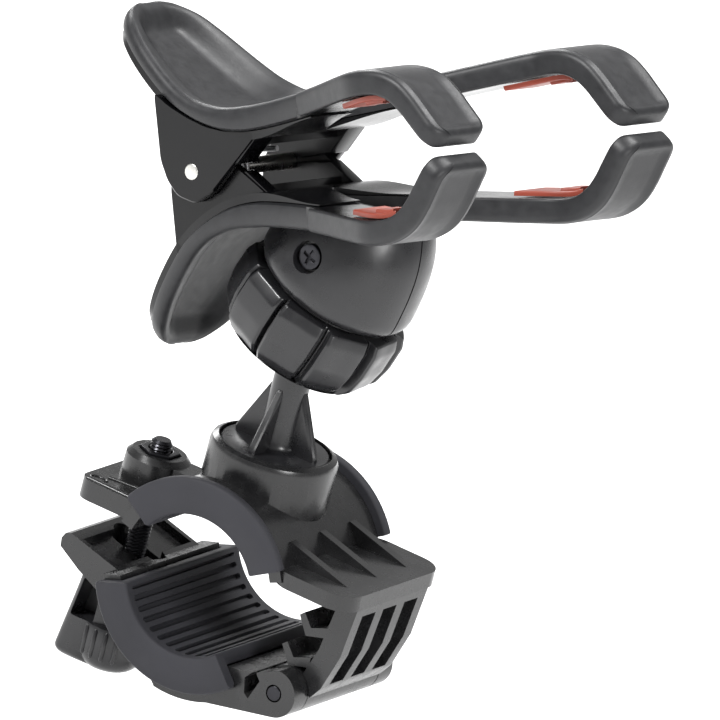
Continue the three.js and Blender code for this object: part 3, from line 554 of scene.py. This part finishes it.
THREAD_R, THREAD_LOW, DOME_BASE = 14.8, -3.6, 12.5
SHELL_GAP = 0.12
TONGUE_ROOM = 2.8         # half width of the slot in the dome's top
DOME_LINE = [
    (17.4, DOME_BASE), (18.4, 14.4), (18.1, 18.5), (17.2, 24), (15.7, 29.3), (13.4, 34), (10.4, 38),
    (6.4, 41), (0.0, 42.4),
]
CEILING = -13.4           # the clip's underside in its own frame, which falls away beyond CEILING_BEND
CEILING_BEND, CEILING_STEP, CEILING_SLOPE = 30, 1.0, 0.13
SHELL_COLUMNS, DOME_ROWS = 64, 30
SHELL_BORE = 11.4
SEAM_ANGLE = 0.006        # radians between each shell's first column and the parting plane


def clip_height(p):
    """A socket-frame point's place in the clip's frame, as x and z."""
    dx, dz = p[0] - PIVOT_IN_SOCKET.x, p[2] - PIVOT_IN_SOCKET.z
    return (dx * math.cos(CLIP_PITCH) - dz * math.sin(CLIP_PITCH),
            dx * math.sin(CLIP_PITCH) + dz * math.cos(CLIP_PITCH))


def under_clip(p):
    """How far a socket-frame point lies below the clip's lower half."""
    x, z = clip_height(p)
    ceiling = CEILING
    if x > CEILING_BEND:
        ceiling = CEILING - CEILING_STEP - (x - CEILING_BEND) * CEILING_SLOPE
    return ceiling - z


def shell(name, side):
    """Half of the dome over the ball, trimmed where it meets the clip."""
    dome = curve(DOME_LINE, 6)
    columns = []
    for angle in np.linspace(0, 1, SHELL_COLUMNS) * (math.pi - 2 * SEAM_ANGLE) + SEAM_ANGLE:
        a = angle if side > 0 else -angle
        top = None
        outer = []
        for (r0, s0), (r1, s1) in zip(dome[:-1], dome[1:]):
            p0 = (r0 * math.cos(a), r0 * math.sin(a), s0)
            p1 = (r1 * math.cos(a), r1 * math.sin(a), s1)
            outer.append(p0)
            f0, f1 = under_clip(p0), under_clip(p1)
            if f1 < 0 <= f0:
                t = f0 / (f0 - f1)
                top = tuple(np.array(p0) * (1 - t) + np.array(p1) * t)
                break
        outer.append(top or p1)
        path = np.array(outer)
        walk = np.concatenate([[0], np.cumsum(np.linalg.norm(np.diff(path, axis=0), axis=1))])
        even = np.linspace(0, walk[-1], DOME_ROWS)
        dome_points = list(zip(*[np.interp(even, walk, path[:, k]) for k in range(3)]))
        thread = [(THREAD_R - 0.3 * (i % 2), 8.0 + 0.7 * i) for i in range(6)]
        bottom = [(THREAD_R - 1.4, THREAD_LOW), (THREAD_R, THREAD_LOW + 1.4), *thread,
                  (THREAD_R, DOME_BASE - 0.3), (17.0, DOME_BASE - 0.3)]
        base = [(r * math.cos(a), r * math.sin(a), s) for r, s in bottom]
        x, y, s = dome_points[-1]
        slot = min(abs(y), TONGUE_ROOM)
        inner = [(x * k, side * max(abs(y * k), slot), s - 0.2) for k in (0.9, 0.6, 0.35)]
        bore = [(SHELL_BORE * math.cos(a), SHELL_BORE * math.sin(a), THREAD_LOW)]
        column = bore + base + dome_points + inner
        columns.append([(px, py + side * SHELL_GAP, pz) for px, py, pz in column])
    return piece(name + "_skin", *band(columns), SHELL_PLASTIC, "head", (name,), TO_SOCKET, sharp=45)


near_shell = shell("socket_shell_near", -1)
shell("socket_shell_far", 1)


SCREW_HOLE_R, SCREW_HOLE_Z, SCREW_HOLE_FLOOR = 3.6, 22, -15.2


def screw_hole(obj):
    """The counterbore of the screw that joins the two shells."""
    turn = np.arange(40) * 2 * math.pi / 40
    circle = [(SCREW_HOLE_R * math.cos(a), SCREW_HOLE_R * math.sin(a) + SCREW_HOLE_Z) for a in turn]
    rings = [[(x, y, z) for x, z in circle] for y in (-24, SCREW_HOLE_FLOOR)]
    cut(obj, cutter(*band(rings), TO_SOCKET))


screw_hole(near_shell)

# ---------------------------------------------------------------- clip arms

ARM_HALF = 9.5
ARM_Y, ARM_BEND, ARM_SPLAY = 34.0, 62.0, 0.6
ARM_ROOT = 37.0
CORE_T, CORE_HALF, PLAY = 2.2, 8.0, 0.3
TIP_CORNER, TIP_ROUND, SLEEVE_ROUND = 4.6, 1.5, 1.9
CLAW_DISH, CLAW_DISH_FROM = 0.6, 24     # depth of the dish, and how far before the tip it starts
ARM_LINE = [
    (ARM_ROOT, 10.0, 5.3), (46, 11.2, 5.3), (54, 12.3, 5.4), (62, 13.3, 5.5), (66, 13.6, 5.4),
    (69.4, 13.2, 5.3), (72.4, 11.8, 5.2), (75, 9.4, 5.0), (77.2, 6.6, 4.9), (79.3, 3.9, 4.8),
    (81.1, 1.8, 4.7), (82.6, 0.3, 4.6),
]


def arm_y(x):
    """The middle of a near arm, with its bend eased over a few millimetres."""
    ease = 3.0
    d = ARM_BEND - x
    past = d if d > ease else (0 if d < -ease else (d + ease) ** 2 / (4 * ease))
    return -ARM_Y + ARM_SPLAY * past


def along(stations):
    """Points, outward directions and the distance left to the last one."""
    p = np.asarray(stations, float)
    tangent = np.gradient(p[:, :2], axis=0)
    tangent /= np.linalg.norm(tangent, axis=1)[:, None]
    steps = np.linalg.norm(np.diff(p[:, :2], axis=0), axis=1)
    left = np.concatenate([np.cumsum(steps[::-1])[::-1], [0]])
    return p, np.stack([-tangent[:, 1], tangent[:, 0]], 1), left


def arm_rings(stations, section):
    """Rings of section(left, thickness), a list of [across, up], set square to the arm's inner face."""
    points, out, left = along(stations)
    rings = []
    for (x, z, t), (nx, nz), rest in zip(points, out, left):
        rings.append([(x + nx * b, arm_y(x) + a, z + nz * b) for a, b in section(rest, t)])
    return rings


def eased_end(stations, radius):
    """The same run with extra rows near its end, close enough to round the end off smoothly."""
    p = np.asarray(stations, float)
    walk = np.concatenate([[0], np.cumsum(np.linalg.norm(np.diff(p[:, :2], axis=0), axis=1))])
    near_end = walk[-1] - radius + radius * np.sin(np.linspace(0, math.pi / 2, 12))
    places = np.concatenate([walk[walk < walk[-1] - radius - 0.1], near_end])
    return np.stack([np.interp(places, walk, p[:, k]) for k in range(p.shape[1])], 1)


def sleeve_section(left, t):
    """A soft sleeve: rounded edges, and towards the claw a shallow dish inside a rim."""
    half = ARM_HALF - round_off(left, TIP_CORNER)
    inset = round_off(left, TIP_ROUND)
    low_edge, high_edge = inset, t - inset
    dish = CLAW_DISH * smoothstep((CLAW_DISH_FROM - left) / 8) * smoothstep((left - 1.2) / 2.5)
    soft = min(SLEEVE_ROUND, (high_edge - low_edge) * 0.45)
    outline = rounded([(-half, low_edge), (-half, high_edge), (half, high_edge), (half, low_edge)],
                      (0.8, soft, soft, 0.8), 5)
    t = high_edge
    points = []
    for i, (a, b) in enumerate(outline):
        points.append((a, b))
        if i == 11:
            for u in np.linspace(-0.78, 0.78, 15) * half:
                points.append((u, t + 0.12 - dish * smoothstep((half * 0.78 - abs(u)) / 2.2)))
    return points


def sleeve(name, mirror, body):
    stations = eased_end(curve(ARM_LINE, 6), TIP_CORNER)
    obj = piece(name + "_skin", *band(arm_rings(stations, sleeve_section)), SOFT_TOUCH, body, (name,),
                TO_CLIP, mirror)
    core = [(ARM_ROOT - 4, 9.48, 5.3)] + [s for s in ARM_LINE if s[0] < 70]
    wide, high = CORE_HALF + PLAY, CORE_T + PLAY
    room = [(-wide, -1), (-wide, high), (wide, high), (wide, -1)]
    channel = arm_rings(curve(core, 4), lambda left, t: room)
    cut(obj, cutter(*band(channel), TO_CLIP, mirror))


def grip(name, mirror, body):
    """A red pad over the arm's inner face, with a smaller raised block on it."""
    stations = curve([s for s in ARM_LINE if 53 < s[0] < 70], 5)
    flat = rounded([(-6, -0.3), (6, -0.3), (6, -1.4), (-6, -1.4)], (0, 0, 0.5, 0.5))
    raised = rounded([(-4.2, -1.2), (4.2, -1.2), (4, -2.1), (-4, -2.1)], (0, 0, 0.5, 0.5))
    strip = arm_rings(stations, lambda left, t: flat)
    bar = arm_rings(stations[5:-3], lambda left, t: raised)
    piece(name + "_skin", *joined(band(strip), band(bar)), RED_SILICONE, body, (name,), TO_CLIP, mirror)


for level, up, body in (("upper", 1, "clip_upper"), ("lower", -1, "head")):
    for side_name, side in (("near", 1), ("far", -1)):
        sleeve(f"sleeve_{level}_{side_name}", (1, side, up), body)
        grip(f"grip_{level}_{side_name}", (1, side, up), body)

# ---------------------------------------------------------------- paddle covers

PADDLE_LINE = [
    (-25.8, 35.2, 1.6), (-25.4, 34.9, 3.8), (-24.6, 34.3, 7.0), (-23.2, 33.2, 10.0), (-20.6, 30.8, 13.4),
    (-17.4, 27.3, 15.7), (-13.9, 23.6, 17.3), (-9.4, 19.2, 18.8), (-4.8, 15.3, 20), (0, 12.4, 21),
    (5, 10.1, 21.6), (10, 8.6, 22), (16, 7.9, 22.2), (22, 8.2, 22.8), (29, 9.0, 24),
    (ARM_ROOT - PLAY, 10, 26),
]
COVER_T, COVER_FRONT_T, COVER_RIM, COVER_DISH, COVER_SAG = 3.6, 5.3, 2.4, 3.4, 1.3
NOTCH_X = ARM_BEND - (ARM_Y - ARM_HALF) / ARM_SPLAY
NOTCH_ROUND = 2.0
COVER_TIP_ROUND = 1.6
FULL_T_X = 16             # the cover has its front thickness, and no more sag, from here on
DISH_END_X, DISH_FADE = 26, 20


def sag_at(x):
    """How far the paddle's underside sags in its middle."""
    return COVER_SAG * smoothstep((FULL_T_X - x) / 11)


def cover_section(x, from_tip, half):
    """The cover's outline across the clip: a dished top, a raised rim and a sagging underside."""
    inset = round_off(from_tip, COVER_TIP_ROUND)
    t = COVER_T + (COVER_FRONT_T - COVER_T) * min(1, max(0, x / FULL_T_X)) - inset
    depth = COVER_DISH * smoothstep((from_tip - 1.5) / 6) * smoothstep((DISH_END_X - x) / DISH_FADE)
    sag = sag_at(x) * smoothstep((from_tip - 1) / 5)
    inner = max(half - COVER_RIM, half * 0.4)
    top = []
    for u in np.linspace(0, 1, 14):
        dish = depth * (1 - smoothstep((u - 0.45) / 0.55))
        top.append((u * inner, t - dish))
    edge = half - inner
    rim = [(inner + 0.2 * edge, t + 0.12), (inner + 0.5 * edge, t), (half - 0.2 * edge, t - 0.5),
           (half, max(t - 1.3, 0.5 * t)), (half, min(1.2, 0.4 * t) + inset * 0.5),
           (half - 0.12 * edge, 0.4 + inset * 0.5),
           (half - 0.4 * edge, inset * 0.5)]
    under = [(u * (half - 0.4 * edge), inset * 0.5 - sag * (1 - u * u)) for u in (0.8, 0.6, 0.4, 0.2, 0)]
    right = top + rim + under
    return right + [(-a, b) for a, b in reversed(right[1:-1])]


def cut_notch(obj, mirror):
    """Cuts the opening between the two arms, whose root is rounded."""
    reach = 40
    far = NOTCH_X + reach
    corners = [(NOTCH_X, 0), (far, -reach * ARM_SPLAY), (far, reach * ARM_SPLAY)]
    v_shape = rounded(corners, (NOTCH_ROUND, 0, 0), 6)
    prism = [[(x, y, z) for x, y in v_shape] for z in (-5, 40)]
    cut(obj, cutter(*band(prism), TO_CLIP, mirror))


def cover(name, mirror, body):
    """A soft paddle with a thumb dish, up to the arms' roots."""
    stations = curve(PADDLE_LINE, 6)
    points, out, left = along(stations)
    total = left[0]
    rings = []
    for (x, z, half), (nx, nz), rest in zip(points, out, left):
        rings.append([(x + nx * b, a, z + nz * b) for a, b in cover_section(x, total - rest, half)])
    obj = piece(name + "_skin", *band(rings), SOFT_TOUCH, body, (name,), TO_CLIP, mirror, sharp=45)
    cut_notch(obj, mirror)


cover("paddle_cover_upper", (1, 1, 1), "clip_upper")
cover("paddle_cover_lower", (1, 1, -1), "head")

# ---------------------------------------------------------------- hard bodies of the clip

EAR_UPPER, EAR_LOWER, EAR_T = 20.4, 17.7, 2.4     # outer faces of the ears, and how thick they are
PLATE_EDGE = 0.3          # how far the plates' edges are eased
EAR_SIDE = [(-8.4, 17.9), (-8.4, 3.2), (-7.0, -1.5), (-4.6, -5.0), (0, -7.0), (4.6, -5.2), (17, 5.4),
            (19, 7.4), (16, 7.5), (10, 8.2), (5, 9.7), (0, 12.0), (-4.8, 14.9)]
WEB_SIDE = [(8.8, 0.8), (12.5, 0.8), (19.5, 7.2), (19.5, 8.0), (15, 7.0), (8.8, 8.6)]
WEB_IN = 13.4             # how far from the middle each web starts
SCREEN_SIDE = [(2.8, 0.4), (9.5, 0.6), (9.5, 8.6), (2.8, 9.5)]
SCREEN_IN, SCREEN_OUT = 13.9, 15.0
FLOOR_GAP, FLOOR_T, FLOOR_SET_IN = 0.25, 1.8, 1.9
THIN_FROM, THIN_OVER, THINNED = 18, 16, 0.85      # where the skin thins out towards the arms, and how much
SPRING_BAR = [(10.6, 4.4), (15, 4.4), (15, 7.6), (10.6, 7.6)]
TONGUE_SIDE = [(14, -7.5), (20, -7.5), (24, -11.5), (33.5, -12.5), (33.5, -26.5), (22.4, -26.5),
               (14, -18.1)]
TONGUE_HALF = 2.5


def plate(outline, y0, y1):
    """A flat plate between two heights across the clip, with its edges eased."""
    middle = np.mean(outline, axis=0)
    rings = []
    for y, inset in ((y0, PLATE_EDGE), (y0 + PLATE_EDGE, 0), (y1 - PLATE_EDGE, 0), (y1, PLATE_EDGE)):
        ring = []
        for x, z in outline:
            away = np.array([x, z]) - middle
            shrink = 1 - inset / max(np.linalg.norm(away), 2)
            px, pz = middle + away * shrink
            ring.append((px, y, pz))
        rings.append(ring)
    return band(rings)


def floor_rings():
    """The skin under the paddle's cover, which thins out where it meets the arms."""
    stations = curve(PADDLE_LINE[3:], 4)
    points, out = along(stations)[:2]
    rings = []
    for (x, z, half), (nx, nz) in zip(points, out):
        wide = half - FLOOR_SET_IN
        sag = sag_at(x)
        thick = FLOOR_T * (1 - THINNED * smoothstep((x - THIN_FROM) / THIN_OVER))
        rows = []
        for u in (-1, -0.5, 0, 0.5, 1):
            rows.append((u * wide, -FLOOR_GAP - sag * (1 - u * u)))
        for u in (1, 0.5, 0, -0.5, -1):
            rows.append((u * wide, -FLOOR_GAP - thick - sag * (1 - u * u)))
        rings.append([(x + nx * b, across, z + nz * b) for across, b in rows])
    return rings


def hard_body(name, ear_outer, up, body):
    """Ears, webs, the skin under the paddle and the cores of both arms."""
    mirror = (1, 1, up)
    parts = []
    for side in (-1, 1):
        for outline, y0, y1, corner in ((EAR_SIDE, ear_outer - EAR_T, ear_outer, 1.2),
                                        (WEB_SIDE, WEB_IN, ear_outer - 0.4, 0.2)):
            smooth = rounded(outline, corner, 4)
            low_y, high_y = sorted((side * y0, side * y1))
            parts.append(plate(smooth, low_y, high_y))
    parts.append(plate(SPRING_BAR, -WEB_IN - 0.5, WEB_IN + 0.5))
    parts.append(plate(SCREEN_SIDE, SCREEN_IN, SCREEN_OUT))
    if up < 0:
        upright = [(x, -z) for x, z in TONGUE_SIDE]
        parts.append(plate(upright, -TONGUE_HALF, TONGUE_HALF))
    piece(name + "_frame", *joined(*parts), GLOSS_BLACK, body, (name,), TO_CLIP, mirror)

    skin = piece(name + "_floor", *band(floor_rings()), GLOSS_BLACK, body, (name,), TO_CLIP, mirror)
    cut_notch(skin, mirror)

    core = curve([(ARM_ROOT - 3, 9.6, 5.3)] + [s for s in ARM_LINE if s[0] < 69], 4)
    slab = [(-CORE_HALF, 0), (-CORE_HALF, CORE_T), (CORE_HALF, CORE_T), (CORE_HALF, 0)]
    for side_name, side in (("near", 1), ("far", -1)):
        piece(f"{name}_core_{side_name}", *band(arm_rings(core, lambda left, t: slab)), GLOSS_BLACK, body,
              (name,), TO_CLIP, (1, side, up))


hard_body("clip_upper_body", EAR_UPPER, 1, "clip_upper")
hard_body("clip_lower_body", EAR_LOWER, -1, "head")

# ---------------------------------------------------------------- spring

SPRING_R, WIRE_R, TURNS, SPRING_Y0, SPRING_Y1 = 3.7, 0.65, 5, -13, -4
TURN_STEPS = 28
LEG_X, LEG_Z_START, LEG_Z_END = 11.5, 3.6, 3.2    # where the two legs end


def spring():
    """A wire wound round the pivot, with a leg at each end."""
    path = []
    for t in np.linspace(0, 1, 6)[:-1]:
        path.append((LEG_X * (1 - t), SPRING_Y0, LEG_Z_START * (1 - t) + SPRING_R * t))
    for i in range(TURNS * TURN_STEPS + 1):
        f = i / (TURNS * TURN_STEPS)
        a = math.pi / 2 - 2 * math.pi * TURNS * f
        path.append((SPRING_R * math.cos(a), SPRING_Y0 + (SPRING_Y1 - SPRING_Y0) * f, SPRING_R * math.sin(a)))
    for t in np.linspace(0, 1, 6)[1:]:
        path.append((LEG_X * t, SPRING_Y1, LEG_Z_END * t + SPRING_R * (1 - t)))
    path = np.array(path)
    tangent = np.gradient(path, axis=0)
    tangent /= np.linalg.norm(tangent, axis=1)[:, None]
    rings = []
    for p, t in zip(path, tangent):
        u = np.cross(t, (0, 1, 0))
        u /= np.linalg.norm(u)
        v = np.cross(t, u)
        around = np.arange(12) * math.pi / 6
        rings.append([tuple(p + WIRE_R * (math.cos(a) * u + math.sin(a) * v)) for a in around])
    piece("torsion_spring_skin", *band(rings), SPRING_STEEL, "head", ("torsion_spring",), TO_CLIP)


spring()

# ---------------------------------------------------------------- stage, light and camera

low, high = CAD_BOX
FLOOR_Z = low.z - 0.02
FLOOR_HALF = 4.0


def stage():
    """A plain pale level floor, which reaches far past the object."""
    mesh = bpy.data.meshes.new("floor")
    corners = [(x * FLOOR_HALF, y * FLOOR_HALF, FLOOR_Z) for x, y in ((-1, -1), (1, -1), (1, 1), (-1, 1))]
    mesh.from_pydata(corners, [], [(0, 1, 2, 3)])
    obj = bpy.data.objects.new("floor", mesh)
    bpy.context.scene.collection.objects.link(obj)
    mesh.materials.append(material("floor", (0.9, 0.9, 0.9), 0.8, vary=0.01, grain=0.0, rough_vary=0.02))


def lamp(name, place, aim, size, power):
    light = bpy.data.lights.new(name, "AREA")
    light.shape = "DISK"
    light.size = size
    light.energy = power
    obj = bpy.data.objects.new(name, light)
    obj.location = place
    obj.rotation_euler = (Vector(aim) - Vector(place)).to_track_quat("-Z", "Y").to_euler()
    bpy.context.scene.collection.objects.link(obj)


stage()
middle = (low + high) / 2
lamp("key", (-0.5, -0.7, 0.95), middle, 0.35, 16)
lamp("fill", (1.0, -0.5, 0.45), middle, 0.4, 7)
lamp("top", (0.1, 0.35, 1.1), middle, 0.45, 13)
lamp("back", (-0.9, 0.8, 0.5), middle, 0.5, 6)
world = bpy.data.worlds.new("world")
world.use_nodes = True
world.node_tree.nodes["Background"].inputs["Color"].default_value = (1, 1, 1, 1)
world.node_tree.nodes["Background"].inputs["Strength"].default_value = 0.5
bpy.context.scene.world = world
bpy.context.scene.view_settings.view_transform = "Standard"

AZIMUTH, ELEVATION, ROLL = 27.8 * DEG, 19.7 * DEG, -14.4 * DEG
DISTANCE = 6.0
AIM_RIGHT, AIM_UP = 0.02527, 0.0453
LENS, SENSOR, VIEW_END = 1371, 36, 20


def camera():
    """Far away with a long lens, so the object looks almost as in a parallel view, and rolled a little."""
    back = Vector((math.sin(AZIMUTH) * math.cos(ELEVATION), -math.cos(AZIMUTH) * math.cos(ELEVATION),
                   math.sin(ELEVATION)))
    flat = Vector((math.cos(AZIMUTH), math.sin(AZIMUTH), 0))
    steep = back.cross(flat)
    right = flat * math.cos(ROLL) - steep * math.sin(ROLL)
    up = flat * math.sin(ROLL) + steep * math.cos(ROLL)
    data = bpy.data.cameras.new("camera")
    data.lens = LENS
    data.sensor_width = SENSOR
    data.clip_end = VIEW_END
    obj = bpy.data.objects.new("camera", data)
    aim = right * AIM_RIGHT + up * AIM_UP
    turn = Matrix((right, up, back)).transposed().to_4x4()
    obj.matrix_world = Matrix.Translation(aim + back * DISTANCE) @ turn
    bpy.context.scene.collection.objects.link(obj)
    bpy.context.scene.camera = obj


camera()
